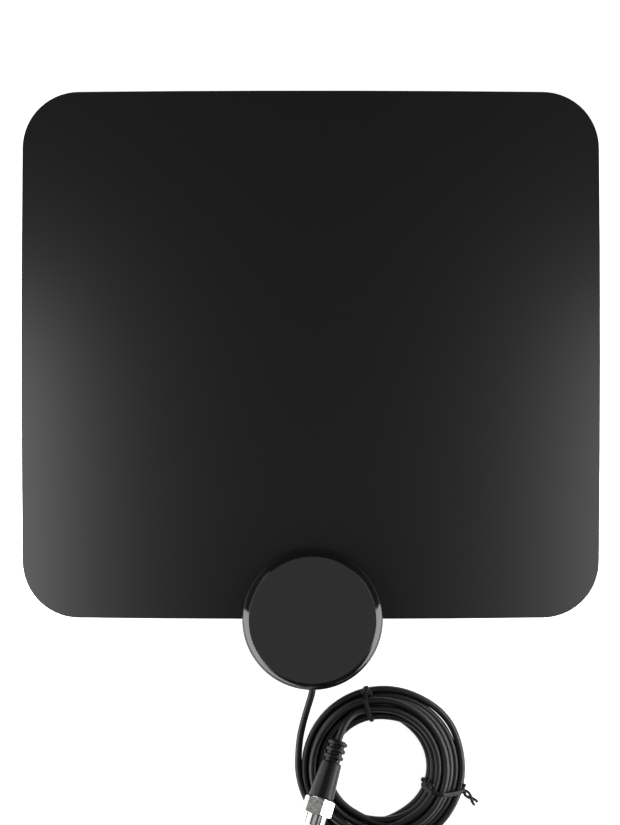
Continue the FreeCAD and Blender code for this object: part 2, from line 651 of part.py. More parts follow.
def make_coupling_nut():
    """Make the hexagon with turned corners, its round collar, and the bore behind the lip."""
    turns = [math.radians(60 * side) for side in range(7)]
    corners = [Vector(math.cos(turn), math.sin(turn), 0) * nut_corner_r for turn in turns]
    hexagon = Part.Face(Part.makePolygon(corners)).extrude(Vector(0, 0, NUT_HEX_LENGTH))
    slope = (nut_corner_r - nut_flat_r) * math.tan(math.radians(NUT_CHAMFER_ANGLE))
    limits = turned([(0, nut_start), (nut_flat_r, nut_start), (nut_corner_r, nut_start + slope),
                     (nut_corner_r, nut_hex_end - slope), (nut_flat_r, nut_hex_end), (0, nut_hex_end)])
    hexagon = hexagon.translated(Vector(0, 0, nut_start)).common(limits)
    collar = turned([(0, nut_start + NUT_LIP), (nut_collar_r, nut_start + NUT_LIP),
                     (nut_collar_r, nut_end - NUT_COLLAR_CHAMFER),
                     (nut_collar_r - NUT_COLLAR_CHAMFER, nut_end), (0, nut_end)])
    bore = post((0, 0), nut_start + NUT_LIP, nut_end, nut_bore_r)
    lip_hole = post((0, 0), nut_start, nut_end, sleeve_r + NUT_SLEEVE_FIT)
    return on_connector(joined([hexagon, collar]).cut([bore, lip_hole]))


# Route of the cable from the housing to the coil's outer turn
exit_point = Vector(HOUSING_X, housing_place.y - HOUSING_R, cable_z)
coil_low_z = coil_z + cable_r
lead_points = [exit_point, exit_point + Vector(0, -LEAD_STRAIGHT, 0), Vector(-1.3, -133.4, 4.2),
               Vector(-3.7, -139.4, 3.3), Vector(-5.1, -146.8, 2.6), Vector(-5.4, -154.6, coil_low_z),
               Vector(-3.6, -162.6, coil_low_z), Vector(0.1, -169.8, coil_low_z),
               Vector(5.9, -176.3, coil_low_z), Vector(13.3, -181.3, coil_low_z),
               Vector(22.3, -184.0, coil_low_z)]

# Route of the cable from the coil's top layer up to the ribbed end of the connector
boot_entry = connector_place.Base
tail_low_z = coil_top_z - cable_r - TIE_GAP
tail_points = [Vector(25.6, -125.5, tail_low_z), Vector(20.3, -127.9, tail_low_z), Vector(15.7, -131.7, 8.6),
               boot_entry - connector_axis * TAIL_STRAIGHT, boot_entry]

nodes = {
    "front_film": make_front_film(),
    "rear_film": make_rear_film(),
    "antenna_foil_left": make_foil(-1),
    "antenna_foil_right": make_foil(1),
    "housing_base": make_housing_base(),
    "housing_cap": make_housing_cap(),
    "cover_screws": make_cover_screws(),
    "foil_contact_left": make_foil_contact(contact_places[0]),
    "foil_contact_right": make_foil_contact(contact_places[1]),
    "circuit_board": make_circuit_board(),
    "balun_core": make_balun_core(),
    "balun_primary_winding": make_winding(1, WINDING_PITCH / 2, PRIMARY_LEG_REACH),
    "balun_secondary_winding": make_winding(-1, -WINDING_PITCH / 2, SECONDARY_LEG_REACH),
    "chip_capacitors": make_chip_capacitors(),
    "cable_clamp": make_cable_clamp(),
    "clamp_screws": make_clamp_screws(),
    "cable_inner_end": coax_layer(jacket_end_y, CABLE_D, BRAID_D),
    "coax_braid": coax_layer(braid_end_y, BRAID_D, INSULATION_D),
    "coax_insulation": coax_layer(insulation_end_y, INSULATION_D, COAX_WIRE_D),
    "coax_wire": coax_layer(wire_end_y, COAX_WIRE_D, 0.0),
    "cable_lead": tube(lead_points, CABLE_D),
    "cable_coil": make_coil(),
    "cable_tail": tube(tail_points, CABLE_D),
    "twist_tie_top": make_twist_tie(TIE_TOP_ANGLE, TIE_TOP_TAIL, TIE_TOP_TAIL_HEADING),
    "twist_tie_right": make_twist_tie(TIE_RIGHT_ANGLE, TIE_RIGHT_TAIL, TIE_RIGHT_TAIL_HEADING),
    "cable_outer_end": make_cable_outer_end(),
    "connector_boot": make_connector_boot(),
    "connector_sleeve": make_connector_sleeve(),
    "connector_insulator": make_connector_insulator(),
    "connector_pin": make_connector_pin(),
    "coupling_nut": make_coupling_nut(),
}

os.makedirs("parts", exist_ok=True)
for name, shape in nodes.items():
    shape.exportStep(f"parts/{name}.step")

show_radii("cable_lead", lead_points)
show_radii("cable_tail", tail_points)
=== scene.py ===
import bmesh
import bpy
import json
import math
import random
from mathutils import Matrix, Vector


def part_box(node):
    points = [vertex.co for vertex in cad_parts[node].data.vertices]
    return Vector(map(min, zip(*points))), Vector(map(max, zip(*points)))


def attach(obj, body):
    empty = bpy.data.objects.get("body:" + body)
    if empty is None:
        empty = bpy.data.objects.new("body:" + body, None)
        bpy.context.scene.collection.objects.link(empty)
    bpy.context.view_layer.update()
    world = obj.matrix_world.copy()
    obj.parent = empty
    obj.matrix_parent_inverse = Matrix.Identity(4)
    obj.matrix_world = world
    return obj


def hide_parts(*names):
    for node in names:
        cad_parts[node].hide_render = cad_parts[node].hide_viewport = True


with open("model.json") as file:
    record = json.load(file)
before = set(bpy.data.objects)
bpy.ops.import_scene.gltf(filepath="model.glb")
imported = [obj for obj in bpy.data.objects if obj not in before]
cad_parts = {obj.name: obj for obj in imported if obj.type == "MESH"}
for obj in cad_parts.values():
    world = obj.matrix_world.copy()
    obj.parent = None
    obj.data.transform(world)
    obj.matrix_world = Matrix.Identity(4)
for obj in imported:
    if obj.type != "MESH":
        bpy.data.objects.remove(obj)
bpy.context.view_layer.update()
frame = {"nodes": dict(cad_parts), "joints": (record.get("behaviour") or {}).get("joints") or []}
nodes = frame["nodes"]
MM = 0.001


# Front and rear film: two sheets of matt black plastic film, laminated over the foil.
# They are die-cut with round corners, and a fine rolled grain covers both faces.
class Value:
    """A socket of a material: expressions on values add the nodes that work them out."""

    def __init__(self, tree, socket):
        self.tree = tree
        self.socket = socket

    def node(self, kind, settings, sockets, output=0):
        """Add a node of a type: its settings are set first, then its sockets' values or links."""
        made = self.tree.nodes.new("ShaderNode" + kind)
        for name, setting in settings.items():
            setattr(made, name, setting)
        for name, value in sockets.items():
            if isinstance(value, Value):
                self.tree.links.new(value.socket, made.inputs[name])
            else:
                made.inputs[name].default_value = value
        return Value(self.tree, made.outputs[output])

    def math(self, operation, first, second=0.0):
        return self.node("Math", {"operation": operation}, {0: first, 1: second})

    def __add__(self, other):
        return self.math("ADD", self, other)

    def __sub__(self, other):
        return self.math("SUBTRACT", self, other)

    def __mul__(self, other):
        return self.math("MULTIPLY", self, other)

    def __gt__(self, other):
        return self.math("GREATER_THAN", self, other)

    def __abs__(self):
        return self.math("ABSOLUTE", self)

    __radd__ = __add__
    __rmul__ = __mul__

    def between(self, low, high):
        """Mix two colours, with this value as the factor."""
        return self.node("Mix", {"data_type": "RGBA"}, {0: self, 6: (*low, 1), 7: (*high, 1)}, output=2)

    def into(self, shader, name):
        self.tree.links.new(self.socket, shader.inputs[name])


def new_finish(name, **sockets):
    """Start a material from its constant sockets; return it, its shader and the place on the surface."""
    material = bpy.data.materials.new(name)
    material.use_nodes = True
    shader = material.node_tree.nodes["Principled BSDF"]
    for socket, value in sockets.items():
        shader.inputs[socket.replace("_", " ").title().replace("Ior", "IOR")].default_value = value
    place = material.node_tree.nodes.new("ShaderNodeTexCoord").outputs["Object"]
    return material, shader, Value(material.node_tree, place)


def noise(place, size, detail=2.0, stretch=(1, 1, 1)):
    """Return a cloudy value from 0 to 1 whose lumps are about a size across, in metres."""
    scale = tuple(axis / size for axis in stretch)
    spread = place.node("VectorMath", {"operation": "MULTIPLY"}, {0: place, 1: scale})
    return spread.node("TexNoise", {}, {"Vector": spread, "Scale": 1.0, "Detail": detail}, output="Fac")


def emboss(height, shader, depth, strength=1.0):
    """Raise a surface by a height value times a depth in metres."""
    bump = height.node("Bump", {}, {"Strength": strength, "Distance": depth, "Height": height})
    bump.into(shader, "Normal")


def dress(material, *names):
    """Give a material to pieces that stay as the CAD made them."""
    for name in names:
        nodes[name].material_slots[0].material = material


film, shader, place = new_finish("matt_film", specular_ior_level=0.28)
grain = noise(place, 0.35 * MM)
clouds = noise(place, 60 * MM, 3.0)
mottle = 0.6 * grain + 0.4 * clouds
mottle.between((0.0042, 0.0042, 0.0044), (0.0078, 0.0078, 0.0082)).into(shader, "Base Color")
(0.56 + 0.10 * grain + 0.06 * clouds).into(shader, "Roughness")
emboss(grain, shader, 0.02 * MM, 0.35)
dress(film, "front_film", "rear_film")


# Antenna foil: the two dipole lobes, punched from rolled aluminium and glued between the films.
# Rolling leaves fine streaks along one direction.
foil, shader, place = new_finish("rolled_foil", metallic=1.0)
streaks = noise(place, 0.2 * MM, 3.0, (0.01, 1, 1))
streaks.between((0.70, 0.70, 0.71), (0.86, 0.86, 0.86)).into(shader, "Base Color")
(0.24 + 0.16 * streaks).into(shader, "Roughness")
dress(foil, "antenna_foil_left", "antenna_foil_right")


# Housing base and cable clamp: black moulded plastic with a fine spark-eroded texture.
# The base carries the board's posts and the cradle that the clamp is screwed down on.
moulding, shader, place = new_finish("spark_textured_plastic", specular_ior_level=0.4)
sparks = noise(place, 0.25 * MM, 3.0)
sparks.between((0.009, 0.009, 0.010), (0.018, 0.018, 0.019)).into(shader, "Base Color")
(0.48 + 0.18 * sparks).into(shader, "Roughness")
emboss(sparks, shader, 0.03 * MM, 0.5)
dress(moulding, "housing_base", "cable_clamp")


# Foil contacts: turned brass eyelets, riveted through the films and the board.
# Turning leaves them bright, and the brass has a slight tarnish.
brass, shader, place = new_finish("turned_brass", metallic=1.0)
tarnish = noise(place, 0.8 * MM, 4.0)
tarnish.between((0.60, 0.43, 0.18), (0.82, 0.66, 0.34)).into(shader, "Base Color")
(0.18 + 0.20 * tarnish).into(shader, "Roughness")
dress(brass, "foil_contact_left", "foil_contact_right", "connector_pin")


# Circuit board: glass laminate under a green solder mask, whose weave shows faintly.
# It is held between the contacts, the base's posts and the cap's pegs.
BAND_RADIANS = 20
WEAVE_PER_RADIAN = 0.5 * MM
weave_scale = 1 / BAND_RADIANS / WEAVE_PER_RADIAN
board, shader, place = new_finish("solder_mask", roughness=0.32, coat_weight=0.3)
threads = [place.node("TexWave", {"bands_direction": axis}, {"Vector": place, "Scale": weave_scale}, "Fac")
           for axis in "XY"]
weave = 0.5 * threads[0] + 0.5 * threads[1]
weave.between((0.012, 0.085, 0.035), (0.020, 0.125, 0.052)).into(shader, "Base Color")
emboss(weave, shader, 0.01 * MM, 0.4)
dress(board, "circuit_board")


# Balun core: a small block of sintered ferrite with two holes, glued to the board.
# It is dull dark grey with a fine speckle.
ferrite, shader, place = new_finish("sintered_ferrite")
speckle = noise(place, 0.12 * MM, 4.0)
speckle.between((0.022, 0.022, 0.024), (0.060, 0.060, 0.063)).into(shader, "Base Color")
(0.55 + 0.25 * speckle).into(shader, "Roughness")
emboss(speckle, shader, 0.01 * MM, 0.5)
dress(ferrite, "balun_core")


# Balun windings and the cable's inner wire: drawn copper under a clear enamel.
# Each winding is a hairpin through both holes of the core, with its legs soldered on the board.
copper, shader, place = new_finish("enamelled_copper", metallic=1.0, coat_weight=0.6)
drawn = noise(place, 0.15 * MM, 3.0)
drawn.between((0.50, 0.18, 0.07), (0.72, 0.34, 0.16)).into(shader, "Base Color")
(0.22 + 0.14 * drawn).into(shader, "Roughness")
dress(copper, "balun_primary_winding", "balun_secondary_winding", "coax_wire")


# Chip capacitors: tan ceramic blocks, fired and then tinned at both ends.
# They are soldered to the board across the balun.
CHIP_MIDDLE_Y = sum(corner.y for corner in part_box("chip_capacitors")) / 2
CHIP_BARE_HALF = 0.62 * MM
chip, shader, place = new_finish("tinned_ceramic", roughness=0.42)
across = place.node("SeparateXYZ", {}, {0: place}, output="Y") - CHIP_MIDDLE_Y
tinned = abs(across) > CHIP_BARE_HALF
tinned.between((0.36, 0.27, 0.17), (0.66, 0.65, 0.63)).into(shader, "Base Color")
tinned.into(shader, "Metallic")
dress(chip, "chip_capacitors")


# Clamp screws: steel under a slightly uneven, satin zinc plating.
# They pull the clamp down on the base's cradle.
steel, shader, place = new_finish("zinc_plated_steel", metallic=1.0)
plating = noise(place, 0.6 * MM, 4.0)
plating.between((0.42, 0.42, 0.43), (0.60, 0.60, 0.61)).into(shader, "Base Color")
(0.24 + 0.18 * plating).into(shader, "Roughness")
dress(steel, "clamp_screws")


# Coaxial layers: woven tinned braid over waxy white polyethylene, round the inner wire.
# They are stripped back in steps at the cable's end inside the housing.
SLANTED_BAND_RADIANS = 10
BRAID_PER_RADIAN = 0.35 * MM
braid_scale = 1 / SLANTED_BAND_RADIANS / BRAID_PER_RADIAN
braid, shader, place = new_finish("tinned_braid", metallic=1.0, roughness=0.34)
mirrored = place.node("VectorMath", {"operation": "MULTIPLY"}, {0: place, 1: (-1, 1, -1)})
slanted = {"bands_direction": "DIAGONAL"}
strands = [way.node("TexWave", slanted, {"Vector": way, "Scale": braid_scale}, "Fac")
           for way in (place, mirrored)]
woven = 0.5 * strands[0] + 0.5 * strands[1]
woven.between((0.30, 0.29, 0.27), (0.78, 0.76, 0.72)).into(shader, "Base Color")
emboss(woven, shader, 0.06 * MM)
dress(braid, "coax_braid")

polyethylene, shader, place = new_finish("waxy_polyethylene", roughness=0.38)
haze = noise(place, 1.5 * MM, 2.0)
haze.between((0.78, 0.78, 0.75), (0.88, 0.88, 0.86)).into(shader, "Base Color")
dress(polyethylene, "coax_insulation", "connector_insulator")


# Housing cap: the round glossy cover, moulded in black plastic and polished, with a crowned bevel.
# It closes over the base, clamps the sheet in its slot and lets the cable out through a notch.
HOUSING = Vector((0.7 * MM, -92.9 * MM, 0))
CAP_R = 28.4 * MM
CAP_FOOT = 1.6 * MM
CAP_TOP = 12.4 * MM
CAP_WALL = 2.0 * MM
CAP_ROOF = 1.6 * MM
BEVEL_WIDTH = 2.8 * MM
BEVEL_UPPER_SLOPE = math.tan(math.radians(38.5))
BEVEL_LOWER_SLOPE = math.tan(math.radians(44.5))
BEVEL_CROWN_R = 16 * MM
SHOULDER_R = 1.3 * MM
RIM_R = 0.35 * MM
SLOT_EDGE = -0.6 * MM
SLOT_TOP = 2.6 * MM
NOTCH_HALF = 2.55 * MM
CABLE_EXIT_Z = 5.05 * MM
CABLE_HOLE_R = 1.5 * MM
ARC_LEAD = 1.15
SHARP_EDGE = math.radians(35)


def rounded(outline, radii, steps=7):
    """Round an outline's corners by an arc of each radius, with a short flat lead on both sides."""
    points = []
    for index, (corner, radius) in enumerate(zip(outline, radii)):
        here = Vector(corner)
        if radius == 0:
            points.append(here)
            continue
        way_in = (Vector(outline[index - 1]) - here).normalized()
        way_out = (Vector(outline[(index + 1) % len(outline)]) - here).normalized()
        half = way_in.angle(way_out) / 2
        trim = radius / math.tan(half)
        middle = here + (way_in + way_out).normalized() * radius / math.sin(half)
        start = here + way_in * trim - middle
        half_chord = (way_out * trim - way_in * trim).length / 2
        sweep = 2 * math.asin(half_chord / radius)
        side = 1 if start.cross(here - middle) > 0 else -1
        points.append(here + way_in * trim * ARC_LEAD)
        for step in range(steps + 1):
            angle = side * sweep * step / steps
            points.append(middle + Matrix.Rotation(angle, 2) @ start)
        points.append(here + way_out * trim * ARC_LEAD)
    return [tuple(point) for point in points]


def turned(outline, segments):
    """Turn a closed outline of (radius, height) points round the Z axis into a closed mesh."""
    form = bmesh.new()
    points = [form.verts.new((radius, 0, height)) for radius, height in outline]
    pairs = zip(points, points[1:] + points[:1])
    edges = [form.edges.new(pair) for pair in pairs if pair[0].co.x > 0 or pair[1].co.x > 0]
    bmesh.ops.spin(form, geom=points + edges, angle=math.tau, steps=segments,
                   axis=(0, 0, 1), cent=(0, 0, 0))
    bmesh.ops.remove_doubles(form, verts=form.verts, dist=0.001 * MM)
    bmesh.ops.recalc_face_normals(form, faces=form.faces)
    return form


def cuboid(low, high):
    """Make a box between two corners."""
    form = bmesh.new()
    bmesh.ops.create_cube(form, size=1)
    for vert in form.verts:
        vert.co = Vector([a if c < 0 else b for a, b, c in zip(low, high, vert.co)])
    return form


def as_mesh(name, form, place=Matrix.Identity(4)):
    """Turn a form into a mesh at a place, smooth except at its sharp edges."""
    mesh = bpy.data.meshes.new(name)
    form.transform(place)
    form.to_mesh(mesh)
    form.free()
    mesh.shade_smooth()
    mesh.set_sharp_from_angle(angle=SHARP_EDGE)
    return mesh


def add_piece(name, mesh, material, slot, *stands_for, body="antenna"):
    """Add a piece that rides on a body, and hide the nodes that it stands for."""
    piece = bpy.data.objects.new(name, mesh)
    bpy.context.scene.collection.objects.link(piece)
    piece.data.materials.append(material)
    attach(piece, body)
    if stands_for:
        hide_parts(*stands_for)
    return piece


def carve(mesh, tools):
    """Return a mesh with the tools' forms cut out of it."""
    block = bpy.data.objects.new("block", mesh)
    bpy.context.scene.collection.objects.link(block)
    cutters = []
    for tool in tools:
        cutter = bpy.data.objects.new("cutter", as_mesh("cutter", tool))
        bpy.context.scene.collection.objects.link(cutter)
        cut = block.modifiers.new("cut", "BOOLEAN")
        cut.operation = "DIFFERENCE"
        cut.solver = "EXACT"
        cut.object = cutter
        cutters.append(cutter)
    ready = block.evaluated_get(bpy.context.evaluated_depsgraph_get())
    carved = bpy.data.meshes.new_from_object(ready)
    for spare in [block] + cutters:
        bpy.data.objects.remove(spare)
    carved.shade_smooth()
    carved.set_sharp_from_angle(angle=SHARP_EDGE)
    return carved


face_r = CAP_R - BEVEL_WIDTH
hollow_r = CAP_R - CAP_WALL
roof_z = CAP_TOP - CAP_ROOF
crown_z = CAP_TOP - BEVEL_WIDTH / 2 * BEVEL_UPPER_SLOPE
bevel_z = crown_z - BEVEL_WIDTH / 2 * BEVEL_LOWER_SLOPE
cap_outline = [(0, CAP_TOP), (face_r, CAP_TOP), (CAP_R - BEVEL_WIDTH / 2, crown_z), (CAP_R, bevel_z),
               (CAP_R, CAP_FOOT), (hollow_r, CAP_FOOT), (hollow_r, bevel_z - CAP_ROOF),
               (hollow_r - BEVEL_WIDTH, roof_z), (0, roof_z)]
cap_radii = [0, RIM_R, BEVEL_CROWN_R, SHOULDER_R, 0, 0, 0, 0, 0]
cap_form = turned(rounded(cap_outline, cap_radii), segments=160)
sheet_slot = cuboid((-2 * CAP_R, SLOT_EDGE, -CAP_FOOT), (2 * CAP_R, 2 * CAP_R, SLOT_TOP))
notch = cuboid((-NOTCH_HALF, -2 * CAP_R, -CAP_FOOT), (NOTCH_HALF, -CAP_R / 2, CABLE_EXIT_Z))
cable_hole = turned([(0, 0), (CABLE_HOLE_R, 0), (CABLE_HOLE_R, CAP_R), (0, CAP_R)], segments=32)
hole_start = Matrix.Translation((0, -CAP_R / 2, CABLE_EXIT_Z))
cable_hole.transform(hole_start @ Matrix.Rotation(math.pi / 2, 4, "X"))
cap_mesh = carve(as_mesh("cap_blank", cap_form), [sheet_slot, notch, cable_hole])
cap_mesh.transform(Matrix.Translation(HOUSING))

gloss, shader, place = new_finish("polished_plastic", specular_ior_level=0.57)
swirl = noise(place, 9 * MM, 3.0)
swirl.between((0.0045, 0.0045, 0.0047), (0.0065, 0.0065, 0.0068)).into(shader, "Base Color")
(0.07 + 0.05 * swirl).into(shader, "Roughness")
add_piece("housing_cover", cap_mesh, gloss, "housing_gloss", "housing_cap")


# Cover screws: four countersunk steel screws with a cross recess, zinc plated.
# They are driven through the base into the cap; the left and right pairs stop at different turns.
SCREW_LENGTH = 7.5 * MM
SCREW_HEAD_R = 2.0 * MM
SCREW_SHANK_R = 0.9 * MM
SCREW_CONE = 1.0 * MM
SCREW_POINT = 0.8 * MM
RECESS_HALF = 1.05 * MM
RECESS_SLIT = 0.24 * MM
RECESS_DEPTH = 0.7 * MM
STOP_TURN = 40
low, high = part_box("cover_screws")
screw_outline = [(0, 0), (SCREW_HEAD_R, 0), (SCREW_SHANK_R, SCREW_CONE),
                 (SCREW_SHANK_R, SCREW_LENGTH - SCREW_POINT),
                 (SCREW_SHANK_R - SCREW_POINT / 2, SCREW_LENGTH), (0, SCREW_LENGTH)]
recess = [cuboid((-across, -along, -SCREW_CONE), (across, along, RECESS_DEPTH))
          for across, along in ((RECESS_HALF, RECESS_SLIT), (RECESS_SLIT, RECESS_HALF))]
screw = carve(as_mesh("screw_blank", turned(screw_outline, segments=48)), recess)
screw_set = bmesh.new()
for x in (low.x + SCREW_HEAD_R, high.x - SCREW_HEAD_R):
    for y in (low.y + SCREW_HEAD_R, high.y - SCREW_HEAD_R):
        copy = screw.copy()
        copy.transform(Matrix.Translation((x, y, 0)) @ Matrix.Rotation(STOP_TURN * x / MM, 4, "Z"))
        screw_set.from_mesh(copy)
add_piece("cover_screw_set", as_mesh("cover_screw_set", screw_set), steel, "screw_steel", "cover_screws")


# Cable: thin coaxial cable in a satin black jacket, 2.8 mm thick.
# It leaves the housing's lower edge, is wound into a coil of three nested layers and ends in the connector.
CABLE_D = 2.8 * MM
EXIT = Vector((0.7, -121.3, 5.05)) * MM
COIL_CENTRE = Vector((29.5, -153.7, 0)) * MM
COIL_OUTER_R = 33.35 * MM
COIL_FOOT = 1.0 * MM
HOLE_R = 19.3 * MM
HOLE_SHIFT = Vector((-2.0, 0.7, 0)) * MM
LAYER_RISE = 2.4 * MM
LAYER_ROWS = ((3, 2, 1, 0), (0.5, 1.5, 2.5), (2, 1))
OUTER_ROW = 3
INNER_PITCH = 3.3 * MM
OUTER_PITCH = 2.6 * MM
SLIP_TURN = math.radians(15)
SLIP_START = -0.2
SLIP_SPAN = 0.6
LOWER_SLIP = 0.6
SQUEEZE = 0.5 * MM
SQUEEZE_START = 0.8
SQUEEZE_SPAN = 0.2
STEPS_PER_TURN = 24
SPLINE_INSET = (3 + math.cos(math.tau / STEPS_PER_TURN)) / 4
ARRIVAL = 257.0
CROSSING = 268.0
CROSSING_WIDTH = 70.0
CLIMB_LEAD = 35.0
LEAVING = 88.0
FAN_MIDDLE = 37.0
FAN_HALF = 27.0
FAN_OUT = 0.8 * MM
WANDER = 0.11 * MM
WANDER_SEED = 5

axis = Vector(frame["joints"][0]["axis"])
NUT_MIDDLE = 27.25 * MM
connector_rear = Vector(frame["joints"][0]["pos_m"]) - axis * NUT_MIDDLE
TAIL_STRAIGHT = 5.0 * MM
lead_points = [EXIT]
for point in ((0.4, -123.6, 5.0), (-1.0, -127.9, 4.6), (-3.15, -135.2, 3.8), (-4.5, -141.6, 3.0),
              (-5.0, -147.6, 2.6), (-5.2, -154.6, 2.4),
              (-3.5, -162.6, 2.4), (0.1, -170.0, 2.4), (5.9, -176.8, 2.4), (13.3, -182.0, 2.4)):
    lead_points.append(Vector(point) * MM)
tail_points = [Vector((20.9, -129.2, 7.2)) * MM, Vector((15.7, -131.9, 8.7)) * MM,
               connector_rear - axis * TAIL_STRAIGHT, connector_rear]


def smooth(share):
    """Rise softly from 0 to 1 as a share does, and stay level outside."""
    share = min(max(share, 0.0), 1.0)
    return share * share * (3 - 2 * share)


def row_radius(row, layer, heading):
    """Return a row's distance from the coil's centre in a direction; row 0 lines the hole.

    The upper layers lie above one another at the left and slip half a row apart at the right.
    The rows are squeezed together at the bottom.
    """
    slip = 0.5 - 0.5 * smooth((math.cos(heading + SLIP_TURN) - SLIP_START) / SLIP_SPAN)
    along = HOLE_SHIFT.dot(Vector((math.cos(heading), math.sin(heading), 0)))
    hole = along + math.sqrt(HOLE_R ** 2 - HOLE_SHIFT.length_squared + along ** 2)
    pitch = (COIL_OUTER_R - hole - CABLE_D) / OUTER_ROW
    if layer == 0 and row > OUTER_ROW / 2:
        return COIL_OUTER_R - CABLE_D / 2 - (OUTER_ROW - row) * min(pitch, OUTER_PITCH)
    if layer == 0:
        row += LOWER_SLIP * slip
    elif layer == 1:
        row -= slip
    squeeze = SQUEEZE * smooth((-math.sin(heading) - SQUEEZE_START) / SQUEEZE_SPAN)
    return hole + CABLE_D / 2 + row * min(pitch, INNER_PITCH - squeeze)


def layer_height(layer):
    return COIL_FOOT + CABLE_D / 2 + LAYER_RISE * layer


def coil_points():
    """Wind the layers, row by row, each turn crossing to the next row at the bottom of the coil.

    The outermost turn stands off at the upper right. The points lie outside the route, because
    the spline runs inside its points.
    """
    turns = [(row, layer) for layer, rows in enumerate(LAYER_ROWS) for row in rows]
    rng = random.Random(WANDER_SEED)
    sway = [(rng.uniform(0, math.tau), rng.uniform(0, math.tau)) for turn in turns]
    end = 360 * len(turns) + LEAVING
    count = round((end - ARRIVAL) / 360 * STEPS_PER_TURN)
    points = []
    for step in range(count + 1):
        angle = ARRIVAL + (end - ARRIVAL) * step / count
        heading = math.radians(angle)
        radius, height = 0, 0
        for turn, (row, layer) in enumerate(turns):
            past = angle - CROSSING - 360 * turn
            here, climbed = 1, 1
            if turn > 0:
                here = smooth(past / CROSSING_WIDTH + 0.5)
                climbed = smooth((past + CLIMB_LEAD) / CROSSING_WIDTH + 0.5)
            radius += (row_radius(row, layer, heading) - radius) * here
            height += (layer_height(layer) - height) * climbed
        turn = min(max(int((angle - CROSSING) // 360), 0), len(turns) - 1)
        if turn < 1:
            off = abs((angle - FAN_MIDDLE + 180) % 360 - 180) / FAN_HALF
            radius += FAN_OUT * (1 + math.cos(math.pi * min(off, 1))) / 2
        slow, quick = sway[turn]
        radius += WANDER * (math.sin(2 * heading + slow) + 0.5 * math.sin(3 * heading + quick))
        radius /= SPLINE_INSET
        offset = Vector((radius * math.cos(heading), radius * math.sin(heading), height))
        points.append(COIL_CENTRE + offset)
    return points


def new_cable(name, points, thickness):
    """Make a smooth curve along a route's points, with a round section."""
    curve = bpy.data.curves.new(name, "CURVE")
    curve.dimensions = "3D"
    spline = curve.splines.new("NURBS")
    spline.points.add(len(points) - 1)
    for target, point in zip(spline.points, points):
        target.co = (*point, 1)
    spline.order_u = 3
    spline.use_endpoint_u = True
    spline.resolution_u = 4
    curve.bevel_depth = thickness / 2
    curve.bevel_resolution = 6
    curve.use_fill_caps = True
    return curve


jacket, shader, place = new_finish("satin_jacket", specular_ior_level=0.5)
skin = noise(place, 1.2 * MM, 3.0)
skin.between((0.0022, 0.0022, 0.0024), (0.0045, 0.0045, 0.0048)).into(shader, "Base Color")
(0.37 + 0.13 * skin).into(shader, "Roughness")
emboss(noise(place, 0.5 * MM, 2.0), shader, 0.012 * MM, 0.4)
dress(jacket, "cable_inner_end", "cable_outer_end")
cable_curve = new_cable("cable", lead_points + coil_points() + tail_points, CABLE_D)
cable = add_piece("cable", cable_curve, jacket, "cable_jacket", "cable_lead", "cable_coil", "cable_tail")


# Twist ties: black plastic ribbon with a soft wire core, pulled round the coil by hand.
# Each is one loop whose ends are twisted together, short on the upper tie and longer on the right one.
TIE_WIDTH = 1.7 * MM
TIE_EDGE = 0.34 * MM
TIE_CORE = 0.75 * MM
TIE_SLACK = 0.1 * MM
STRAND_WIDTH = 1.35 * MM
STRAND_CORE = 1.2 * MM
STRAND_EDGE = 0.8 * MM
CORE_FALL = 1.3
SECTION_STEPS = 16
CORNER_STEPS = 6
RUN_STEPS = 12
TWIST_STEPS = 32
SPARE_STEPS = 4
BACK_TURN = 0.1
TWIST_START = 0.35
TWIST_OPENING = 2.5
TIED_ROWS = ((0, 0), (OUTER_ROW, 0), (2, 2), (1, 2), (0.5, 1))
UPPER_TIE_ANGLE = 103.0
RIGHT_TIE_ANGLE = -17.0


def ribbon(form, points, facing, width=TIE_WIDTH, core=TIE_CORE, edge=TIE_EDGE, closed=False):
    """Sweep the ribbon's section, thin at its edges and thick over its core, along points."""
    count = len(points)
    rings = []
    for index, (point, normal) in enumerate(zip(points, facing)):
        before = points[index - 1] if closed or index else point
        after = points[(index + 1) % count] if closed or index < count - 1 else point
        way = (after - before).normalized()
        side = way.cross(normal).normalized()
        rise = side.cross(way)
        ring = []
        for corner in range(SECTION_STEPS):
            turn = math.tau * (corner + 0.5) / SECTION_STEPS
            across = math.cos(turn)
            thick = edge + (core - edge) * smooth(1 - CORE_FALL * abs(across))
            up = math.copysign(math.sqrt(abs(math.sin(turn))), math.sin(turn))
            ring.append(form.verts.new(point + side * across * width / 2 + rise * up * thick / 2))
        rings.append(ring)
    joins = list(zip(rings, rings[1:]))
    if closed:
        joins.append((rings[-1], rings[0]))
    else:
        form.faces.new(rings[0])
        form.faces.new(rings[-1])
    for near, far in joins:
        for corner in range(SECTION_STEPS):
            form.faces.new((near[corner - 1], near[corner], far[corner], far[corner - 1]))


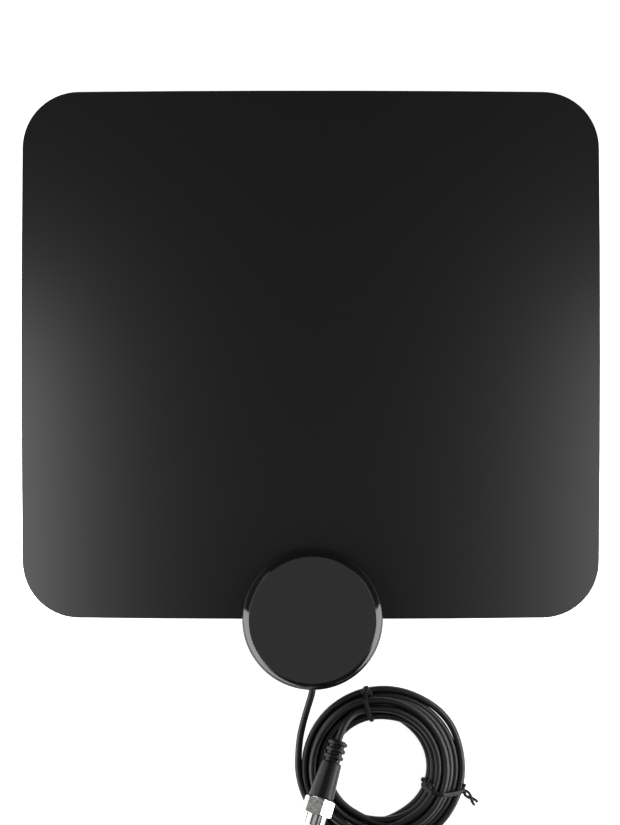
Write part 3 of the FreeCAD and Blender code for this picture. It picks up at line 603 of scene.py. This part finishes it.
def tie_loop(form, angle, drift):
    """Pull a closed ribbon round the coil's section at an angle.

    The drift says how far it lies aside at a radius, both in millimetres.
    """
    heading = math.radians(angle)
    outward = Vector((math.cos(heading), math.sin(heading), 0))
    sideways = Vector((-outward.y, outward.x, 0))
    upward = Vector((0, 0, 1))
    corners = [Vector((row_radius(row, layer, heading), layer_height(layer)))
               for row, layer in TIED_ROWS]
    reach = CABLE_D / 2 + TIE_SLACK + TIE_CORE / 2
    points, facing = [], []
    for index, corner in enumerate(corners):
        run_in = corner - corners[index - 1]
        run_out = corners[(index + 1) % len(corners)] - corner
        start = math.atan2(-run_in.x, run_in.y)
        turned_by = math.atan2(-run_out.x, run_out.y) - start
        sweep = max((turned_by + BACK_TURN) % math.tau - BACK_TURN, 0)
        way = [(corner, start + sweep * step / CORNER_STEPS) for step in range(CORNER_STEPS + 1)]
        way += [(corner + run_out * step / RUN_STEPS, start + sweep) for step in range(1, RUN_STEPS)]
        for middle, turn in way:
            radius = middle.x + reach * math.cos(turn)
            height = middle.y + reach * math.sin(turn)
            aside = sideways * drift(radius / MM) * MM
            points.append(COIL_CENTRE + outward * radius + aside + upward * height)
            facing.append(outward * math.cos(turn) + upward * math.sin(turn))
    ribbon(form, points, facing, closed=True)


def twisted(form, start, end, spread, turns, phase=0.0):
    """Twist two ribbons round each other from one point to another."""
    along = Vector(end) - Vector(start)
    side = along.cross((0, 0, 1)).normalized()
    rise = side.cross(along).normalized()
    for strand in (0, 1):
        points, facing = [], []
        for step in range(TWIST_STEPS + 1):
            share = step / TWIST_STEPS
            turn = phase + math.tau * (turns * share + strand / 2)
            off = side * math.sin(turn) + rise * math.cos(turn)
            opened = smooth(TWIST_START + TWIST_OPENING * share)
            points.append(Vector(start) + along * share + off * spread * opened)
            facing.append(off)
        ribbon(form, points, facing, STRAND_WIDTH, STRAND_CORE, STRAND_EDGE)


def upper_drift(radius):
    """Bow the upper tie aside over the middle of the coil."""
    return 0.9 * (1 - ((radius - 26.0) / 7.0) ** 2)


def right_drift(radius):
    """Lay the right tie aside, slanting and bowed over the middle of the coil."""
    off = radius - 26.1
    return -2.5 + 0.189 * off + 0.0294 * off ** 2


tie_black, shader, place = new_finish("ribbon_plastic", specular_ior_level=0.3)
film_haze = noise(place, 0.7 * MM, 3.0)
film_haze.between((0.0040, 0.0040, 0.0042), (0.0090, 0.0090, 0.0094)).into(shader, "Base Color")
(0.34 + 0.14 * film_haze).into(shader, "Roughness")
emboss(film_haze, shader, 0.02 * MM, 0.4)

upper_tie = bmesh.new()
tie_loop(upper_tie, UPPER_TIE_ANGLE, upper_drift)
twisted(upper_tie, Vector((24.4, -123.2, 5.4)) * MM, Vector((20.9, -122.3, 4.6)) * MM, 0.75 * MM, 1.2)
twisted(upper_tie, Vector((22.9, -122.6, 5.2)) * MM, Vector((22.9, -121.0, 3.4)) * MM, 0.5 * MM, 0.8, 1.5)
bmesh.ops.recalc_face_normals(upper_tie, faces=upper_tie.faces)
upper_tie_mesh = as_mesh("tie_upper", upper_tie)
upper_tie_piece = add_piece("tie_upper", upper_tie_mesh, tie_black, "tie_plastic", "twist_tie_top")

right_tie = bmesh.new()
tie_loop(right_tie, RIGHT_TIE_ANGLE, right_drift)
twisted(right_tie, Vector((61.9, -162.6, 2.6)) * MM, Vector((67.1, -168.2, 1.7)) * MM, 0.85 * MM, 0.8)
twisted(right_tie, Vector((45.1, -157.6, 5.0)) * MM, Vector((49.2, -160.5, 8.6)) * MM, 0.75 * MM, 1.1, 0.6)
spare_start = Vector((61.5, -162.7, 3.0)) * MM
spare_end = Vector((62.5, -160.0, 3.4)) * MM
spare_points = [spare_start.lerp(spare_end, step / SPARE_STEPS) for step in range(SPARE_STEPS + 1)]
spare_facing = [Vector((0, 0, 1)) for point in spare_points]
ribbon(right_tie, spare_points, spare_facing, STRAND_WIDTH, STRAND_CORE, STRAND_EDGE)
bmesh.ops.recalc_face_normals(right_tie, faces=right_tie.faces)
right_tie_mesh = as_mesh("tie_right", right_tie)
right_tie_piece = add_piece("tie_right", right_tie_mesh, tie_black, "tie_plastic", "twist_tie_right")


# Connector boot: black rubber moulded over the cable and the sleeve, in one piece.
# Its rear is a strain relief of three round ribs, opened by windows so that it bends with the cable.
BOOT_BORE_R = 1.42 * MM
SLEEVE_HOLLOW_R = 3.42 * MM
RELIEF_R = 3.2 * MM
RELIEF_EDGE_R = 0.3 * MM
RIBS = 3
RIB_R = 4.1 * MM
RIB_LENGTH = 1.8 * MM
RIB_PITCH = 2.8 * MM
RIB_MARGIN = 0.3 * MM
RIB_SLANT = 0.25 * MM
RIB_EDGE_R = 0.5 * MM
RELIEF_LENGTH = 9.0 * MM
SLEEVE_START = 11.0 * MM
BOOT_END = 24.0 * MM
BOOT_REAR_R = 4.1 * MM
BOOT_FRONT_R = 5.1 * MM
BOOT_NECK_EDGE_R = 0.2 * MM
BOOT_REAR_EDGE_R = 0.7 * MM
BOOT_FRONT_EDGE_R = 0.5 * MM
WINDOW_HALF = 1.7 * MM
WINDOW_LENGTH = 1.1 * MM
WINDOW_FLOOR = 2.0 * MM

boot_outline = [(BOOT_BORE_R, 0), (RELIEF_R, 0)]
boot_radii = [0, RELIEF_EDGE_R]
for rib in range(RIBS):
    foot = RIB_MARGIN + rib * RIB_PITCH
    boot_outline += [(RELIEF_R, foot), (RIB_R, foot + RIB_SLANT), (RIB_R, foot + RIB_LENGTH - RIB_SLANT),
                     (RELIEF_R, foot + RIB_LENGTH)]
    boot_radii += [0, RIB_EDGE_R, RIB_EDGE_R, 0]
boot_outline += [(RELIEF_R, RELIEF_LENGTH), (BOOT_REAR_R, RELIEF_LENGTH), (BOOT_FRONT_R, BOOT_END),
                 (SLEEVE_HOLLOW_R, BOOT_END), (SLEEVE_HOLLOW_R, SLEEVE_START), (BOOT_BORE_R, SLEEVE_START)]
boot_radii += [BOOT_NECK_EDGE_R, BOOT_REAR_EDGE_R, BOOT_FRONT_EDGE_R, 0, 0, 0]
windows = []
for gap in range(RIBS):
    middle = RIB_MARGIN + RIB_PITCH * gap + RIB_LENGTH + (RIB_PITCH - RIB_LENGTH) / 2
    for way in (-1, 1):
        edges = sorted((way * WINDOW_FLOOR, way * 2 * RIB_R))
        windows.append(cuboid((-WINDOW_HALF, edges[0], middle - WINDOW_LENGTH / 2),
                              (WINDOW_HALF, edges[1], middle + WINDOW_LENGTH / 2)))
level = axis.cross((0, 0, 1)).normalized()
connector_place = Matrix((level, level.cross(axis), axis)).transposed().to_4x4()
connector_place.translation = connector_rear
boot_form = turned(rounded(boot_outline, boot_radii, steps=5), segments=96)
boot_mesh = carve(as_mesh("boot_blank", boot_form), windows)
boot_mesh.transform(connector_place)

rubber, shader, place = new_finish("moulded_rubber", specular_ior_level=0.4)
bloom = noise(place, 0.9 * MM, 3.0)
bloom.between((0.0030, 0.0030, 0.0032), (0.0060, 0.0060, 0.0063)).into(shader, "Base Color")
(0.26 + 0.14 * bloom).into(shader, "Roughness")
emboss(noise(place, 0.3 * MM, 2.0), shader, 0.012 * MM, 0.4)
boot = add_piece("boot", boot_mesh, rubber, "boot_rubber", "connector_boot")


# Coupling nut and sleeve: bright nickel plated brass, die-cast and turned.
# The nut spins on the sleeve's flange, and a fine thread inside draws it onto the socket.
THREAD_PITCH = 0.794 * MM
THREAD_START = 27.5 * MM
THREAD_END = 35.0 * MM
THREAD_ROOT_R = 4.42 * MM
THREAD_CREST_R = 4.06 * MM
THREAD_STEPS = 40
THREAD_SECTION = ((THREAD_ROOT_R, -0.38 * THREAD_PITCH), (THREAD_CREST_R, -0.06 * THREAD_PITCH),
                  (THREAD_CREST_R, 0.06 * THREAD_PITCH), (THREAD_ROOT_R, 0.38 * THREAD_PITCH))
nickel, shader, place = new_finish("nickel_plate", metallic=1.0)
plate = noise(place, 1.4 * MM, 3.0)
plate.between((0.64, 0.63, 0.61), (0.88, 0.87, 0.85)).into(shader, "Base Color")
(0.12 + 0.10 * plate).into(shader, "Roughness")
emboss(plate, shader, 0.01 * MM, 0.1)
dress(nickel, "connector_sleeve", "coupling_nut")

thread = bmesh.new()
rings = []
for step in range(round((THREAD_END - THREAD_START) / THREAD_PITCH * THREAD_STEPS) + 1):
    turn = math.tau * step / THREAD_STEPS
    height = THREAD_START + THREAD_PITCH * step / THREAD_STEPS
    ring = []
    for radius, rise in THREAD_SECTION:
        point = (radius * math.cos(turn), radius * math.sin(turn), height + rise)
        ring.append(thread.verts.new(point))
    rings.append(ring)
for near, far in zip(rings, rings[1:]):
    for corner in range(len(THREAD_SECTION)):
        thread.faces.new((near[corner - 1], near[corner], far[corner], far[corner - 1]))
thread.faces.new(rings[0])
thread.faces.new(rings[-1])
bmesh.ops.recalc_face_normals(thread, faces=thread.faces)
thread_mesh = as_mesh("nut_thread", thread, connector_place)
thread_piece = add_piece("nut_thread", thread_mesh, nickel, "nickel_plate", body="nut")


# Studio: a white paper table under soft boxes, seen straight from above as in the photograph.
# The two side boxes reach below the table's top, and their upper edges slope down to the front,
# so that their reflections in the cap's bevel taper towards the cable.
CAMERA_PLACE = Vector((-0.325, -9.38, 1002.6)) * MM
TABLE_SIZE = 6.0
TABLE_DROP = 0.05 * MM
table_mesh = bpy.data.meshes.new("table")
half = TABLE_SIZE / 2
table_corners = [(-half, -half, 0), (half, -half, 0), (half, half, 0), (-half, half, 0)]
table_mesh.from_pydata(table_corners, [], [(0, 1, 2, 3)])
table = bpy.data.objects.new("table", table_mesh)
table.location.z = -TABLE_DROP
bpy.context.scene.collection.objects.link(table)
paper, shader, place = new_finish("white_paper", roughness=0.9, specular_ior_level=0.1,
                                  emission_strength=0.80)
fibres = noise(place, 4 * MM, 2.0)
fibres.between((0.90, 0.90, 0.90), (0.93, 0.93, 0.93)).into(shader, "Base Color")
shader.inputs["Emission Color"].default_value = (1, 1, 1, 1)
table_mesh.materials.append(paper)


def add_lamp(name, place, aim, width, height, radiance, roll=0):
    """Add a rectangular soft box that faces a point, with the same brightness all over.

    The roll turns it in its own plane, in degrees.
    """
    lamp = bpy.data.lights.new(name, "AREA")
    lamp.shape = "RECTANGLE"
    lamp.size = width
    lamp.size_y = height
    lamp.energy = radiance * math.pi * width * height
    box = bpy.data.objects.new(name, lamp)
    box.location = place
    facing = (Vector(aim) - Vector(place)).to_track_quat("-Z", "Y").to_matrix()
    box.rotation_euler = (facing @ Matrix.Rotation(math.radians(roll), 3, "Z")).to_euler()
    bpy.context.scene.collection.objects.link(box)


add_lamp("left_box", (-0.718, -0.637, -0.053), (0.048, 0.006, -0.053), 1.65, 0.45, 5.6, -11.7)
add_lamp("right_box", (0.847, -0.411, -0.039), (-0.052, 0.027, -0.039), 1.04, 0.45, 5.6, 19.5)
add_lamp("upper_left_box", (-0.95, 0.06, 0.78), (0.03, -0.15, 0), 1.1, 0.75, 1.6)
add_lamp("upper_right_box", (0.96, 0.22, 0.78), (0.03, -0.15, 0), 0.9, 0.75, 1.45)
add_lamp("left_strip", (-0.138, -0.098, 0.062), (-0.150, -0.098, 0), 0.26, 0.036, 16.0)
add_lamp("right_strip", (0.144, -0.098, 0.070), (0.158, -0.098, 0), 0.26, 0.036, 14.5)
add_lamp("ceiling_box", (0.0, -0.2, 2.6), (0, -0.2, 0), 1.4, 1.4, 0.5)

world = bpy.data.worlds.new("studio")
world.use_nodes = True
background = world.node_tree.nodes["Background"]
background.inputs["Color"].default_value = (1, 1, 1, 1)
background.inputs["Strength"].default_value = 0.06
bpy.context.scene.world = world

lens = bpy.data.cameras.new("camera")
lens.sensor_fit = "VERTICAL"
lens.sensor_height = 36
lens.lens = 107.5
camera = bpy.data.objects.new("camera", lens)
camera.location = CAMERA_PLACE
bpy.context.scene.collection.objects.link(camera)
bpy.context.scene.camera = camera
bpy.context.scene.view_settings.view_transform = "Standard"
